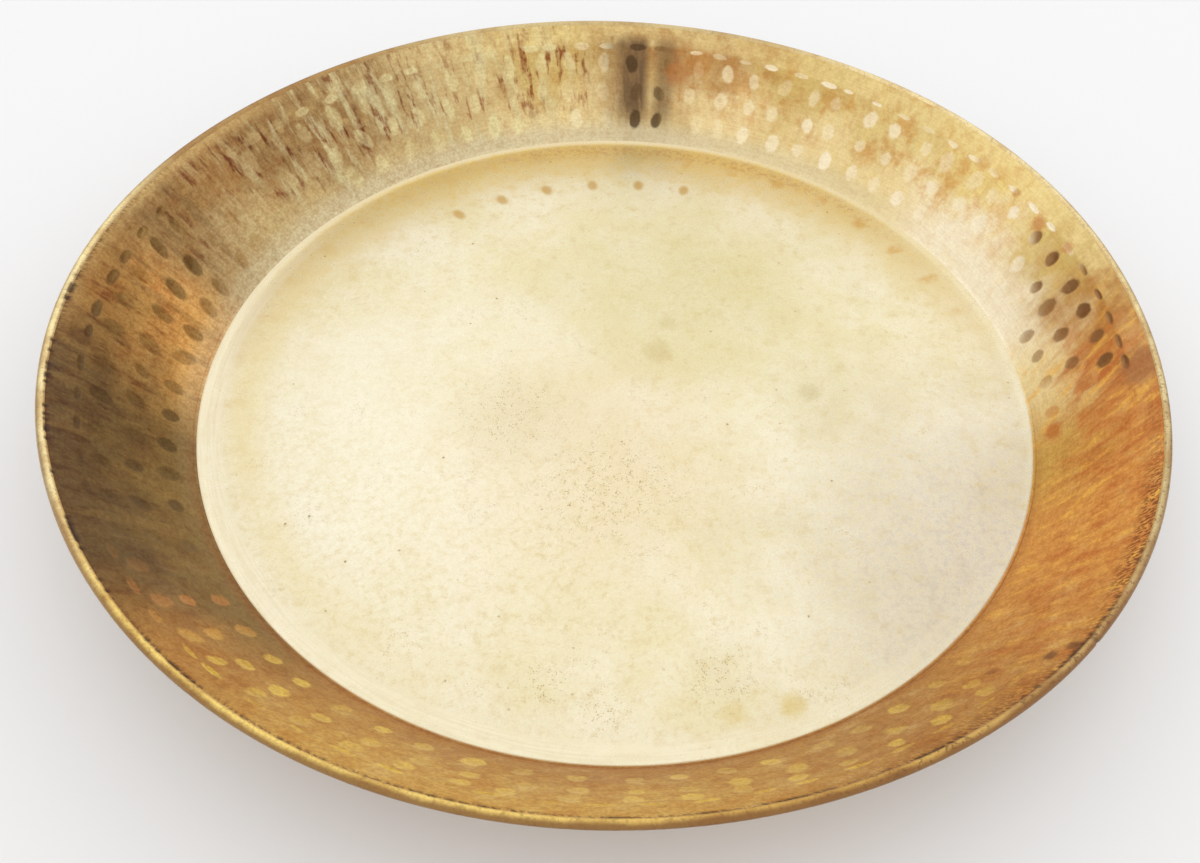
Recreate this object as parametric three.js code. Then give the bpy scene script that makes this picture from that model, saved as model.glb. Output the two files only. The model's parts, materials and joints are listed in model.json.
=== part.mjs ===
import * as THREE from 'three';

// Driving sizes, in millimetres, angles in degrees
const rimDiameter = 400; // across the outside of the rolled rim
const overallHeight = 48; // underside of the floor to the top of the rim
const floorDiameter = 330; // flat inside floor, out to the foot of the wall
const sheetThickness = 0.7; // brass sheet, the same all over
const wireDiameter = 1.2; // iron hoop inside the rolled rim
const wireClearance = 0.15; // free space all round the hoop
const cornerRadius = 6; // inside curve from the floor to the wall
const lipWidth = 10; // plain lip between the top row of hammer marks and the rim
const lipRise = 0.6; // how far the break below the lip stands into the dish
const markWidth = 6.2; // oval hammer marks, along the row
const markDepth = 0.5;
const creaseAngle = 165; // where the lip meets the rolled rim, round the section of the roll
const tuckAngle = -145; // where the edge of the sheet ends, tucked in under the lip
const jointAngle = -46; // where the two ends of the hoop meet, round the rim
const jointGap = 3; // left open between the ends of the hoop
const jointDent = 0.4; // the sheet sinks in over that gap

// Rows of hammer marks from the floor up: marks in the row, distance up the wall as a share
// of the way to the lip, and height of one mark. The last row lies along the break below the lip.
const markRows = [
  { marks: 75, share: 0.255, height: 7.8 },
  { marks: 75, share: 0.545, height: 7.8 },
  { marks: 75, share: 0.83, height: 7.4 },
  { marks: 88, share: 1, height: 3 },
];

// The rim is out of round: waves in one turn, reach in or out, angle of one outermost point
const rimWaves = [
  { waves: 3, reach: 0.65, angle: -49 },
  { waves: 5, reach: 0.5, angle: 32 },
];

// How finely the round shapes are divided
const turnSteps = 80;
const rollSteps = 7;
const cornerSteps = 2;
const wireSides = 8;

const fullTurn = 2 * Math.PI;
const radians = THREE.MathUtils.degToRad;

// Section of the rolled rim: the hoop in the middle, clearance, then the sheet
const rollStep = radians(creaseAngle - tuckAngle) / rollSteps;
const wireRadius = wireDiameter / 2;
const boreRadius = (wireRadius + wireClearance) / Math.cos(rollStep / 2);
const rollRadius = boreRadius + sheetThickness;
const rollCentre = new THREE.Vector2(rimDiameter / 2 - rollRadius, overallHeight - rollRadius);
const jointHalfTurn = jointGap / 2 / rollCentre.x;

function fromAngle(angle) {
  return new THREE.Vector2(Math.cos(angle), Math.sin(angle));
}

// Section of the wall: a straight slope from the foot to the break, then the flatter lip
const foot = new THREE.Vector2(floorDiameter / 2, sheetThickness);
const crease = fromAngle(radians(creaseAngle)).multiplyScalar(rollRadius).add(rollCentre);
const chord = crease.clone().sub(foot).normalize();
const intoDish = new THREE.Vector2(-chord.y, chord.x);
const lipBreak = crease.clone().addScaledVector(chord, -lipWidth).addScaledVector(intoDish, lipRise);
const slope = lipBreak.clone().sub(foot).normalize();
const slopeLength = lipBreak.distanceTo(foot);
const lipSlope = crease.clone().sub(lipBreak).normalize();
const slopeAngle = slope.angle();

function outwardFrom(direction) {
  return new THREE.Vector2(direction.y, -direction.x);
}

// One station of the section: a point on the dish side, the way out through the sheet,
// and the matching point on the outside
function station(point, outward) {
  return { point, outward, back: point.clone().addScaledVector(outward, sheetThickness) };
}

function wallStation(up) {
  if (up <= slopeLength) {
    return station(foot.clone().addScaledVector(slope, up), outwardFrom(slope));
  }
  return station(lipBreak.clone().addScaledVector(lipSlope, up - slopeLength), outwardFrom(lipSlope));
}

// Out of round: nothing at the floor, full at the rim
function rimWave(angle) {
  let sum = 0;
  for (const { waves, reach, angle: outermost } of rimWaves) {
    sum += reach * Math.cos(waves * (angle - radians(outermost)));
  }
  return sum;
}

// Turns are counted round the rim from the joint of the hoop
function placed(point, turn) {
  const angle = radians(jointAngle) + turn;
  const radius = point.x + rimWave(angle) * point.y / overallHeight;
  return new THREE.Vector3(radius * Math.cos(angle), radius * Math.sin(angle), point.y);
}

function evenTurns(count, offset) {
  return Array.from({ length: count }, (unused, index) => (index + offset) * fullTurn / count);
}

// Plain rings have a division at the middle of the joint and one at each end of the hoop
function rimTurns() {
  const free = fullTurn - 2 * jointHalfTurn;
  const turns = [0];
  for (let index = 0; index <= turnSteps; index += 1) {
    turns.push(jointHalfTurn + free * index / turnSteps);
  }
  return turns;
}

function plainRing(point, turns) {
  return turns.map((turn) => ({ turn, position: placed(point, turn) }));
}

// A sheet ring holds the same divisions on the dish side and on the outside
function sheetRing({ point, back }, turns) {
  return { dish: plainRing(point, turns), outside: plainRing(back, turns) };
}

// The middle ring of a row: each mark has its two ends on the wall and a sunk centre between them
function markRing({ point, outward, back }, turns) {
  const halfWidth = markWidth / 2 / point.x;
  const ring = { dish: [], outside: [] };
  for (const turn of turns) {
    for (const side of [-1, 0, 1]) {
      const sunk = outward.clone().multiplyScalar(side === 0 ? markDepth : 0);
      const at = turn + side * halfWidth;
      ring.dish.push({ turn: at, position: placed(point.clone().add(sunk), at) });
      ring.outside.push({ turn: at, position: placed(back.clone().add(sunk), at) });
    }
  }
  return ring;
}

function cornerRings(turns) {
  const centre = foot.clone();
  centre.x -= cornerRadius * Math.tan(slopeAngle / 2);
  centre.y += cornerRadius;
  const rings = [];
  for (let index = 0; index <= cornerSteps; index += 1) {
    const outward = fromAngle(slopeAngle * index / cornerSteps - Math.PI / 2);
    const point = centre.clone().addScaledVector(outward, cornerRadius);
    rings.push(sheetRing(station(point, outward), turns));
  }
  return rings;
}

// Marks of one row stand over the gaps of the row below
function markRings() {
  const rings = [];
  markRows.forEach(({ marks, share, height }, row) => {
    const turns = evenTurns(marks, (row % 2) / 2);
    const up = share * slopeLength;
    rings.push(sheetRing(wallStation(up - height / 2), turns));
    rings.push(markRing(wallStation(up), turns));
    rings.push(sheetRing(wallStation(up + height / 2), turns));
  });
  return rings;
}

// The roll: from the crease over the top and down to the tucked edge, sunk over the joint
function rollRings(turns) {
  const rings = [];
  for (let index = 0; index <= rollSteps; index += 1) {
    const outOfRoll = fromAngle(radians(creaseAngle) - rollStep * index);
    const ringAt = (radius) => turns.map((turn) => {
      const dented = radius - (turn === 0 ? jointDent : 0);
      const point = rollCentre.clone().addScaledVector(outOfRoll, dented);
      return { turn, position: placed(point, turn) };
    });
    rings.push({ dish: ringAt(rollRadius), outside: ringAt(boreRadius) });
  }
  return rings;
}

// Faces between two rings: step along whichever ring is behind
function bridge(first, second, corners) {
  const turnOf = (ring, index) => ring[index % ring.length].turn + (index < ring.length ? 0 : fullTurn);
  const cornerOf = (ring, index) => ring[index % ring.length].position;
  let a = 0;
  let b = 0;
  while (a < first.length || b < second.length) {
    corners.push(cornerOf(first, a), cornerOf(second, b));
    const firstIsBehind = turnOf(first, a + 1) <= turnOf(second, b + 1);
    if (b === second.length || (a < first.length && firstIsBehind)) {
      a += 1;
      corners.push(cornerOf(first, a));
    } else {
      b += 1;
      corners.push(cornerOf(second, b));
    }
  }
}

function brassPan() {
  const turns = rimTurns();
  const sheet = [...cornerRings(turns), ...markRings(), ...rollRings(turns)];
  const dishSide = sheet.map((ring) => ring.dish);
  const outside = sheet.map((ring) => ring.outside).reverse();
  const axisTop = [{ turn: 0, position: new THREE.Vector3(0, 0, sheetThickness) }];
  const axisBottom = [{ turn: 0, position: new THREE.Vector3(0, 0, 0) }];
  const rings = [axisTop, ...dishSide, ...outside, axisBottom];
  const corners = [];
  for (let index = 1; index < rings.length; index += 1) {
    bridge(rings[index - 1], rings[index], corners);
  }
  const geometry = new THREE.BufferGeometry().setFromPoints(corners);
  geometry.computeVertexNormals();
  return geometry;
}

// Centre line of the hoop, once round from one side of the joint to the other
class HoopLine extends THREE.Curve {
  getPoint(share, target = new THREE.Vector3()) {
    const free = fullTurn - 2 * jointHalfTurn;
    return target.copy(placed(rollCentre, jointHalfTurn + free * share));
  }
}

// A full circle is divided into twice its curve segments
function rimWire() {
  const section = new THREE.Shape().absarc(0, 0, wireRadius, 0, fullTurn);
  return new THREE.ExtrudeGeometry(section, {
    steps: turnSteps,
    curveSegments: wireSides / 2,
    extrudePath: new HoopLine(),
  });
}

// Old hand-worked brass, golden brown, and the dull iron of the hidden hoop
const brass = new THREE.MeshStandardMaterial({ color: '#c8a05a', roughness: 0.35, metalness: 1 });
const iron = new THREE.MeshStandardMaterial({ color: '#5b5550', roughness: 0.6, metalness: 1 });

function named(name, geometry, material) {
  const mesh = new THREE.Mesh(geometry, material);
  mesh.name = name;
  return mesh;
}

const platter = new THREE.Group();
platter.name = 'platter';
platter.add(named('pan', brassPan(), brass));
platter.add(named('rim_wire', rimWire(), iron));

export default platter;
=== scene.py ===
import json
import math
import random
from collections import namedtuple

import bmesh
import bpy
import numpy as np
from mathutils import Matrix, Vector

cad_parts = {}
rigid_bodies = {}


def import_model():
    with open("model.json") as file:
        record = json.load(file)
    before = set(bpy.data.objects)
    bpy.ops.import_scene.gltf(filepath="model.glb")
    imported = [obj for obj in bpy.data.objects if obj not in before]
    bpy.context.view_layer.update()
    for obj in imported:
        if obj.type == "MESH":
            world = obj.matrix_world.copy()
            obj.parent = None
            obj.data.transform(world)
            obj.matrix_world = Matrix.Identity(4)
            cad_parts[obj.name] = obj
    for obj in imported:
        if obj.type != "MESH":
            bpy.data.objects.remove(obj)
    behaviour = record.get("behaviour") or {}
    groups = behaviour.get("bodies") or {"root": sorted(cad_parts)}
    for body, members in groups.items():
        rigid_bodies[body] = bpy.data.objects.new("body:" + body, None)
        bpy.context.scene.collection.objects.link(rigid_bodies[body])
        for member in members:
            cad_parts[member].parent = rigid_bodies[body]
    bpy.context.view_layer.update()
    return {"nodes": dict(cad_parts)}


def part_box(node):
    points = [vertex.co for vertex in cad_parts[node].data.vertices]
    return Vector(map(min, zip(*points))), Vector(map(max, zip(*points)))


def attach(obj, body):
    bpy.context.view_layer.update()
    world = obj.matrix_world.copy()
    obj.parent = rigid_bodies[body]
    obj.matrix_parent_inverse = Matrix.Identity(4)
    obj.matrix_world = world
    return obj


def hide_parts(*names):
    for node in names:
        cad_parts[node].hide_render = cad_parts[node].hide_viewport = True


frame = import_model()

# Sizes in metres, taken from the frame where it gives them
MM = 0.001
FULL_TURN = 2 * math.pi
FULL_DEGREES = 360
pan_low, pan_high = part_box("pan")
wire_low, wire_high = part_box("rim_wire")
RIM_RADIUS = (pan_high[0] - pan_low[0]) / 2
HEIGHT = pan_high[2]
ROLL_HEIGHT = (wire_low[2] + wire_high[2]) / 2
ROLL_RADIUS = HEIGHT - ROLL_HEIGHT
ROLL_CENTRE = Vector((RIM_RADIUS - ROLL_RADIUS, ROLL_HEIGHT))
SHEET = 0.7 * MM
FLOOR_RADIUS = 165 * MM
CORNER_RADIUS = 6 * MM
LIP_WIDTH = 10 * MM
LIP_RISE = 0.6 * MM
CREASE_ANGLE = math.radians(165)
TUCK_ANGLE = math.radians(-145)
SMOOTH_ANGLE = math.radians(40)
MERGE_DISTANCE = 0.01 * MM

# The rim is out of round: waves in a turn, reach, angle of one outermost point
RIM_WAVES = [
    (3, 0.65 * MM, math.radians(-49)),
    (5, 0.5 * MM, math.radians(32)),
]

# Rows of hammer marks from the floor up: marks in the row, angle of the first one in degrees,
# place up the slope as a share of it, size of a mark, and how much higher the row runs in front
MarkRow = namedtuple("MarkRow", "marks first share half_width half_height depth lift")
MARK_ROWS = [
    MarkRow(74, 3.6, 0.255, 3.05 * MM, 3.9 * MM, 0.22 * MM, 5.5 * MM),
    MarkRow(74, 4.3, 0.545, 3.05 * MM, 3.9 * MM, 0.22 * MM, 7 * MM),
    MarkRow(76, 5.9, 0.83, 3.05 * MM, 3.8 * MM, 0.22 * MM, 2.5 * MM),
    MarkRow(85, 2.0, 1.0, 3.9 * MM, 1.3 * MM, 0.3 * MM, 0),
]
MARK_SEED = 11
MARK_REACH = 1.5
MARK_SOFTNESS = 1.4
MARK_DRIFT = 0.085
MARK_SPREAD = 0.09
MARK_TILT = math.radians(9)
MARK_DEPTHS = (0.75, 1.2)
MARK_TONES = (0.3, 1)

# Marks are longer at the back left
STRETCH = 0.45
STRETCH_ANGLE = math.radians(140)

# The crease beside the rolled rim has opened into pits on the left and the front. Pits come in
# groups and single teeth, each between a slowest and a fastest number of waves in a turn
CREASE_DEPTH = 0.45 * MM
CREASE_WIDTH = 0.5 * MM
CREASE_SEED = 5
CREASE_REACH = 1.5
CREASE_LEAST = 0.15
CREASE_SHIFT = 0.4
CREASE_FRONT_SHIFT = 1.6
WORN_FROM = math.radians(-185)
WORN_TO = math.radians(-28)
WORN_SHARPNESS = 6
PIT_GROUPS = (12, 60)
PIT_TEETH = (180, 460)
PIT_STRENGTH = 0.9
PIT_LEAST = 0.3
DIRT_REACH = 2.4
DIRT_SPREAD = 2.4

# Where the ends of the hoop meet, the sheet has sunk in between them
JOINT_ANGLE = math.radians(-46)
JOINT_WIDTH = 0.8 * MM
JOINT_DENT = 0.35 * MM
JOINT_GRIME = 0.7

# How finely the sheet is divided round the platter
DISH_STEPS = 1024
OUTSIDE_STEPS = 512
FLOOR_STEPS = 128


# Section of the sheet, as a path along its dish side from the foot of the wall
def along(angle):
    return Vector((math.cos(angle), math.sin(angle)))


FOOT = Vector((FLOOR_RADIUS, SHEET))
CREASE = ROLL_CENTRE + ROLL_RADIUS * along(CREASE_ANGLE)
CHORD = (CREASE - FOOT).normalized()
LIP_BREAK = CREASE - LIP_WIDTH * CHORD + LIP_RISE * Vector((-CHORD.y, CHORD.x))
SLOPE = LIP_BREAK - FOOT
LIP = CREASE - LIP_BREAK
SLOPE_ANGLE = math.atan2(SLOPE.y, SLOPE.x)
LIP_ANGLE = math.atan2(LIP.y, LIP.x)
CORNER_PATH = CORNER_RADIUS * math.tan(SLOPE_ANGLE / 2)
BREAK_PATH = SLOPE.length
CREASE_PATH = BREAK_PATH + LIP.length
TUCK_PATH = CREASE_PATH + ROLL_RADIUS * (CREASE_ANGLE - TUCK_ANGLE)
FLOOR_SEAM = -15 * MM
FLOOR_EDGE = 1.2 * MM
BREAK_BAND = 1.8 * MM


def sheet_at(path):
    """Radius and height of the dish side at each path, and the way out through the sheet there"""
    path = np.asarray(path, dtype=float)
    bend = np.clip((path + CORNER_PATH) / (2 * CORNER_PATH), 0, 1) * SLOPE_ANGLE
    on_floor = path < -CORNER_PATH
    on_corner = np.abs(path) <= CORNER_PATH
    on_lip = (path > BREAK_PATH) & (path <= CREASE_PATH)
    on_roll = path > CREASE_PATH
    heading = np.where(on_lip, LIP_ANGLE, bend)
    outward = np.stack([np.sin(heading), -np.cos(heading)], axis=-1)
    points = np.asarray(FOOT) + path[..., None] * np.asarray(SLOPE.normalized())
    flat = np.stack([FLOOR_RADIUS + path, np.full_like(path, SHEET)], axis=-1)
    corner_centre = np.array([FLOOR_RADIUS - CORNER_PATH, SHEET + CORNER_RADIUS])
    corner = corner_centre + CORNER_RADIUS * outward
    lip = np.asarray(LIP_BREAK) + (path - BREAK_PATH)[..., None] * np.asarray(LIP.normalized())
    turn = CREASE_ANGLE - (path - CREASE_PATH) / ROLL_RADIUS
    out_of_roll = np.stack([np.cos(turn), np.sin(turn)], axis=-1)
    roll = np.asarray(ROLL_CENTRE) + ROLL_RADIUS * out_of_roll
    for where, shape in ((on_floor, flat), (on_corner, corner), (on_lip, lip), (on_roll, roll)):
        points = np.where(where[..., None], shape, points)
    outward = np.where(on_roll[..., None], -out_of_roll, outward)
    return points, outward


# Rings along the section, finest where the sheet is worked most
FLOOR_SPACING = 12 * MM
FLOOR_EDGE_SPACING = 3 * MM
CORNER_SPACING = 1.3 * MM
WALL_SPACING = 1.15 * MM
BREAK_SPACING = 0.6 * MM
LIP_SPACING = 1.3 * MM
ROLL_SPACING = 0.7 * MM
BASE_MIDDLE = 20 * MM
BASE_SPACING = 24 * MM
OUTSIDE_CORNER_SPACING = 2 * MM
OUTSIDE_WALL_SPACING = 2.3 * MM
OUTSIDE_LIP_SPACING = 3 * MM
BORE_SPACING = 1.8 * MM


def stretch(start, end, spacing):
    """Paths from start up to end, evenly divided, without the end"""
    count = max(1, round((end - start) / spacing))
    return list(np.linspace(start, end, count, endpoint=False))


FLOOR_PATHS = stretch(-FLOOR_RADIUS, FLOOR_SEAM, FLOOR_SPACING) + [FLOOR_SEAM]
DISH_PATHS = (
    stretch(FLOOR_SEAM, -CORNER_PATH, FLOOR_EDGE_SPACING)
    + stretch(-CORNER_PATH, CORNER_PATH, CORNER_SPACING)
    + stretch(CORNER_PATH, BREAK_PATH - BREAK_BAND, WALL_SPACING)
    + stretch(BREAK_PATH - BREAK_BAND, BREAK_PATH + BREAK_BAND, BREAK_SPACING)
    + stretch(BREAK_PATH + BREAK_BAND, CREASE_PATH - CREASE_WIDTH, LIP_SPACING)
    + [CREASE_PATH - CREASE_WIDTH, CREASE_PATH]
    + stretch(CREASE_PATH + CREASE_WIDTH, TUCK_PATH, ROLL_SPACING)
    + [TUCK_PATH]
)
OUTSIDE_PATHS = (
    [-FLOOR_RADIUS]
    + stretch(-FLOOR_RADIUS + BASE_MIDDLE, -CORNER_PATH, BASE_SPACING)
    + stretch(-CORNER_PATH, CORNER_PATH, OUTSIDE_CORNER_SPACING)
    + stretch(CORNER_PATH, BREAK_PATH, OUTSIDE_WALL_SPACING)
    + stretch(BREAK_PATH, CREASE_PATH, OUTSIDE_LIP_SPACING)
    + stretch(CREASE_PATH, TUCK_PATH, BORE_SPACING)
    + [TUCK_PATH]
)


# Modelling the sheet
def deselect_all():
    for other in bpy.context.view_layer.objects:
        other.select_set(False)


def turned(name, section, steps):
    """A vertex extruded along a section and turned once round the platter's axis"""
    deselect_all()
    bpy.ops.mesh.primitive_plane_add(size=MM, location=(0, 0, 0))
    piece = bpy.context.active_object
    piece.name = name
    bpy.ops.object.mode_set(mode="EDIT")
    bpy.ops.mesh.select_all(action="SELECT")
    bpy.ops.mesh.merge(type="CENTER")
    bpy.ops.transform.translate(value=(section[0][0], 0, section[0][1]))
    for (radius, height), (next_radius, next_height) in zip(section, section[1:]):
        step = (next_radius - radius, 0, next_height - height)
        bpy.ops.mesh.extrude_vertices_move(TRANSFORM_OT_translate={"value": step})
    bpy.ops.object.mode_set(mode="OBJECT")
    lathe = piece.modifiers.new("lathe", "SCREW")
    lathe.angle = FULL_TURN
    lathe.steps = steps
    lathe.render_steps = steps
    lathe.use_merge_vertices = True
    lathe.merge_threshold = MERGE_DISTANCE
    bpy.ops.object.modifier_apply(modifier=lathe.name)
    return piece


def bridge_seam(piece, seam):
    """Joins the two open edges that lie at one radius and height"""
    bpy.ops.object.mode_set(mode="EDIT")
    bpy.ops.mesh.select_mode(type="EDGE")
    bpy.ops.mesh.select_all(action="DESELECT")
    shell = bmesh.from_edit_mesh(piece.data)
    for edge in shell.edges:
        if edge.is_boundary:
            place = Vector((edge.verts[0].co.xy.length, edge.verts[0].co.z))
            edge.select_set((place - seam).length < SHEET)
    bmesh.update_edit_mesh(piece.data)
    bpy.ops.mesh.bridge_edge_loops()
    bpy.ops.object.mode_set(mode="OBJECT")


def pan_shell():
    """The sheet before it is hammered: floor, dish side and outside, closed at the seams"""
    floor_points = sheet_at(FLOOR_PATHS)[0]
    dish_points = sheet_at(DISH_PATHS)[0]
    outside_points, outward = sheet_at(OUTSIDE_PATHS)
    outside_points = outside_points + SHEET * outward
    pan = turned("brass_pan", dish_points.tolist(), DISH_STEPS)
    floor = turned("dish_floor", floor_points.tolist(), FLOOR_STEPS)
    outside = turned("pan_outside", outside_points.tolist(), OUTSIDE_STEPS)
    deselect_all()
    for piece in (floor, outside, pan):
        piece.select_set(True)
    bpy.context.view_layer.objects.active = pan
    bpy.ops.object.join()
    bridge_seam(pan, Vector(dish_points[0]))
    bridge_seam(pan, Vector((dish_points[-1] + outside_points[-1]) / 2))
    bpy.ops.object.mode_set(mode="EDIT")
    bpy.ops.mesh.select_all(action="SELECT")
    bpy.ops.mesh.remove_doubles(threshold=MERGE_DISTANCE)
    bpy.ops.mesh.normals_make_consistent(inside=False)
    bpy.ops.object.mode_set(mode="OBJECT")
    return pan


# Hammering and wearing the sheet
def wrapped(turn):
    return (turn + math.pi) % FULL_TURN - math.pi


def wander(turn, slowest, fastest, seed):
    """A smooth uneven line round the platter, mostly between -1 and 1"""
    draw = random.Random(seed)
    waves = range(slowest, fastest + 1)
    total = sum(np.cos(wave * turn + draw.uniform(0, FULL_TURN)) for wave in waves)
    return total / math.sqrt(len(waves))


def rim_wave(turn):
    return sum(reach * np.cos(waves * (turn - outermost)) for waves, reach, outermost in RIM_WAVES)


def hammer_marks():
    """Place, size, tilt and depth of every mark, uneven as struck by hand"""
    draw = random.Random(MARK_SEED)
    marks = []
    for row in MARK_ROWS:
        for number in range(row.marks):
            size = draw.gauss(1, MARK_SPREAD)
            turns = (number + draw.gauss(0, MARK_DRIFT)) / row.marks
            turn = math.radians(row.first) + turns * FULL_TURN
            at_front = max(0, -math.sin(turn)) ** 2
            at_back_left = max(0, math.cos(turn - STRETCH_ANGLE)) ** 2
            shift = draw.gauss(0, MARK_DRIFT) * row.half_height
            longer = draw.gauss(1, MARK_SPREAD) * (1 + STRETCH * at_back_left)
            marks.append({
                "turn": turn,
                "path": row.share * BREAK_PATH + row.lift * at_front + shift,
                "half_width": row.half_width * size,
                "half_height": row.half_height * size * longer,
                "tilt": draw.gauss(0, MARK_TILT) * row.half_height / row.half_width,
                "depth": row.depth * draw.uniform(*MARK_DEPTHS),
                "tone": draw.uniform(*MARK_TONES),
            })
    return marks


class WorkedSheet:
    """The vertices of the pan as turn and path, so that hammer and wear can move them"""

    def __init__(self, mesh):
        self.mesh = mesh
        places = np.empty(len(mesh.vertices) * 3)
        mesh.vertices.foreach_get("co", places)
        places = places.reshape(-1, 3)
        radius = np.hypot(places[:, 0], places[:, 1])
        self.turn = np.arctan2(places[:, 1], places[:, 0])
        self.path = np.zeros(len(places))
        self.outside = np.zeros(len(places), dtype=bool)
        nearest = np.full(len(places), np.inf)
        for paths, depth in ((FLOOR_PATHS + DISH_PATHS, 0), (OUTSIDE_PATHS, SHEET)):
            points, outward = sheet_at(paths)
            for path, point in zip(paths, points + depth * outward):
                gap = np.hypot(radius - point[0], places[:, 2] - point[1])
                closer = gap < nearest
                nearest[closer] = gap[closer]
                self.path[closer] = path
                self.outside[closer] = depth > 0
        self.sunk = np.zeros(len(places))
        self.grime = np.zeros(len(places))
        self.mark = np.full(len(places), MARK_REACH)
        self.tone = np.zeros(len(places))

    def strike(self, mark):
        """One hammer mark: the sheet sinks inside an oval, deepest in the middle"""
        ring_radius = sheet_at(mark["path"])[0][0]
        across = wrapped(self.turn - mark["turn"]) * ring_radius
        up = self.path - mark["path"]
        longest = max(mark["half_width"], mark["half_height"])
        close = np.flatnonzero(np.hypot(across, up) < MARK_REACH * longest)
        lean = along(mark["tilt"])
        x = across[close] * lean.x + up[close] * lean.y
        y = up[close] * lean.x - across[close] * lean.y
        from_middle = np.hypot(x / mark["half_width"], y / mark["half_height"])
        nearest = from_middle < self.mark[close]
        self.mark[close[nearest]] = from_middle[nearest]
        self.tone[close[nearest]] = mark["tone"]
        hollow = mark["depth"] * np.clip(1 - from_middle ** 2, 0, 1) ** MARK_SOFTNESS
        self.sunk[close] = np.maximum(self.sunk[close], hollow)

    def open_crease(self):
        """Pits and cracks along the crease, deep on the worn side and faint elsewhere"""
        from_ends = np.minimum(self.turn - WORN_FROM, WORN_TO - self.turn)
        worn = np.clip(from_ends * WORN_SHARPNESS, 0, 1)
        groups = wander(self.turn, *PIT_GROUPS, CREASE_SEED)
        teeth = wander(self.turn, *PIT_TEETH, CREASE_SEED + 1)
        pits = np.clip(PIT_STRENGTH * (groups + teeth) - PIT_LEAST, 0, 1)
        at_front = np.clip(-np.sin(self.turn), 0, 1)
        line = CREASE_PATH + CREASE_WIDTH * (CREASE_SHIFT - CREASE_FRONT_SHIFT * at_front)
        away = np.abs(self.path - line) / CREASE_WIDTH
        opened = CREASE_LEAST + (1 - CREASE_LEAST) * worn * pits
        self.sunk += CREASE_DEPTH * np.clip(CREASE_REACH - away, 0, 1) * opened * ~self.outside
        dirt = np.clip(DIRT_REACH - away, 0, 1) * np.clip(DIRT_SPREAD * pits, 0, 1) * worn
        self.grime = np.maximum(self.grime, dirt * ~self.outside)

    def sink_joint(self):
        gap = wrapped(self.turn - JOINT_ANGLE) * RIM_RADIUS / JOINT_WIDTH
        rolled = np.clip((self.path - CREASE_PATH) / CREASE_WIDTH + 1, 0, 1)
        notch = np.exp(-gap ** 2) * rolled
        self.sunk += JOINT_DENT * notch
        self.grime = np.maximum(self.grime, JOINT_GRIME * notch * ~self.outside)

    def write(self):
        """Puts the vertices where hammer and wear have left them"""
        points, outward = sheet_at(self.path)
        points = points + (self.sunk + SHEET * self.outside)[:, None] * outward
        height = points[:, 1]
        radius = points[:, 0] + rim_wave(self.turn) * height / HEIGHT
        places = np.stack([radius * np.cos(self.turn), radius * np.sin(self.turn), height], axis=-1)
        self.mesh.vertices.foreach_set("co", places.ravel())
        self.mesh.update()

    def store(self):
        """Keeps a value for each vertex under the names that the finishes read"""
        values = {"mark": self.mark, "tone": self.tone, "grime": self.grime, "up": self.path / CREASE_PATH}
        for name, numbers in values.items():
            attribute = self.mesh.attributes.new(name, "FLOAT", "POINT")
            attribute.data.foreach_set("value", numbers.astype(np.float32))

    def face_values(self, values):
        """Mean of a value over the corners of each face"""
        corners = np.empty(len(self.mesh.loops), dtype=int)
        self.mesh.loops.foreach_get("vertex_index", corners)
        starts = np.empty(len(self.mesh.polygons), dtype=int)
        self.mesh.polygons.foreach_get("loop_start", starts)
        totals = np.diff(np.append(starts, len(corners)))
        return np.add.reduceat(values[corners].astype(float), starts) / totals


# The finishes of the pan, numbered in the order that it holds them; a face lies on the outside
# where more than a share of its corners does
FLOOR_FINISH, WALL_FINISH, RIM_FINISH, OUTSIDE_FINISH = range(4)
OUTSIDE_SHARE = 0.6


def hammered_pan():
    pan = pan_shell()
    deselect_all()
    pan.select_set(True)
    bpy.context.view_layer.objects.active = pan
    bpy.ops.object.shade_smooth_by_angle(angle=SMOOTH_ANGLE)
    sheet = WorkedSheet(pan.data)
    for mark in hammer_marks():
        sheet.strike(mark)
    sheet.open_crease()
    sheet.sink_joint()
    sheet.write()
    sheet.store()
    path = sheet.face_values(sheet.path)
    outside = sheet.face_values(sheet.outside) > OUTSIDE_SHARE
    places = [outside, path < FLOOR_EDGE, path < CREASE_PATH]
    finish = np.select(places, [OUTSIDE_FINISH, FLOOR_FINISH, WALL_FINISH], RIM_FINISH)
    for material in (dish_floor_brass(), dish_wall_brass(), rim_brass(), outside_brass()):
        pan.data.materials.append(material)
    pan.data.polygons.foreach_set("material_index", finish)
    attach(pan, "root")
    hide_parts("pan")


# Tones of the brass, from pale to dark
CREAM = "#fef5da"
PEARL = "#faeec4"
BUTTER = "#fae8ac"
LINEN = "#ebe4ae"
STRAW = "#f2dfa8"
CORN = "#f8d878"
PRIMROSE = "#f0d88c"
WHEAT = "#e3ce8c"
LEMON = "#eccc56"
FAWN = "#d2bd88"
KHAKI = "#d4ba72"
COPPER = "#ecb86a"
DUN = "#bca272"
GOLD = "#d2a854"
AMBER = "#e0a050"
SAND = "#c09c60"
RUST = "#d08c48"
TAN = "#b08c54"
HONEY = "#ba8842"
MOSS = "#ac8446"
BRONZE = "#a0804e"
OLIVE = "#886c38"
UMBER = "#6c5430"
BARK = "#523c22"
SOOT = "#341c12"

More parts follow.
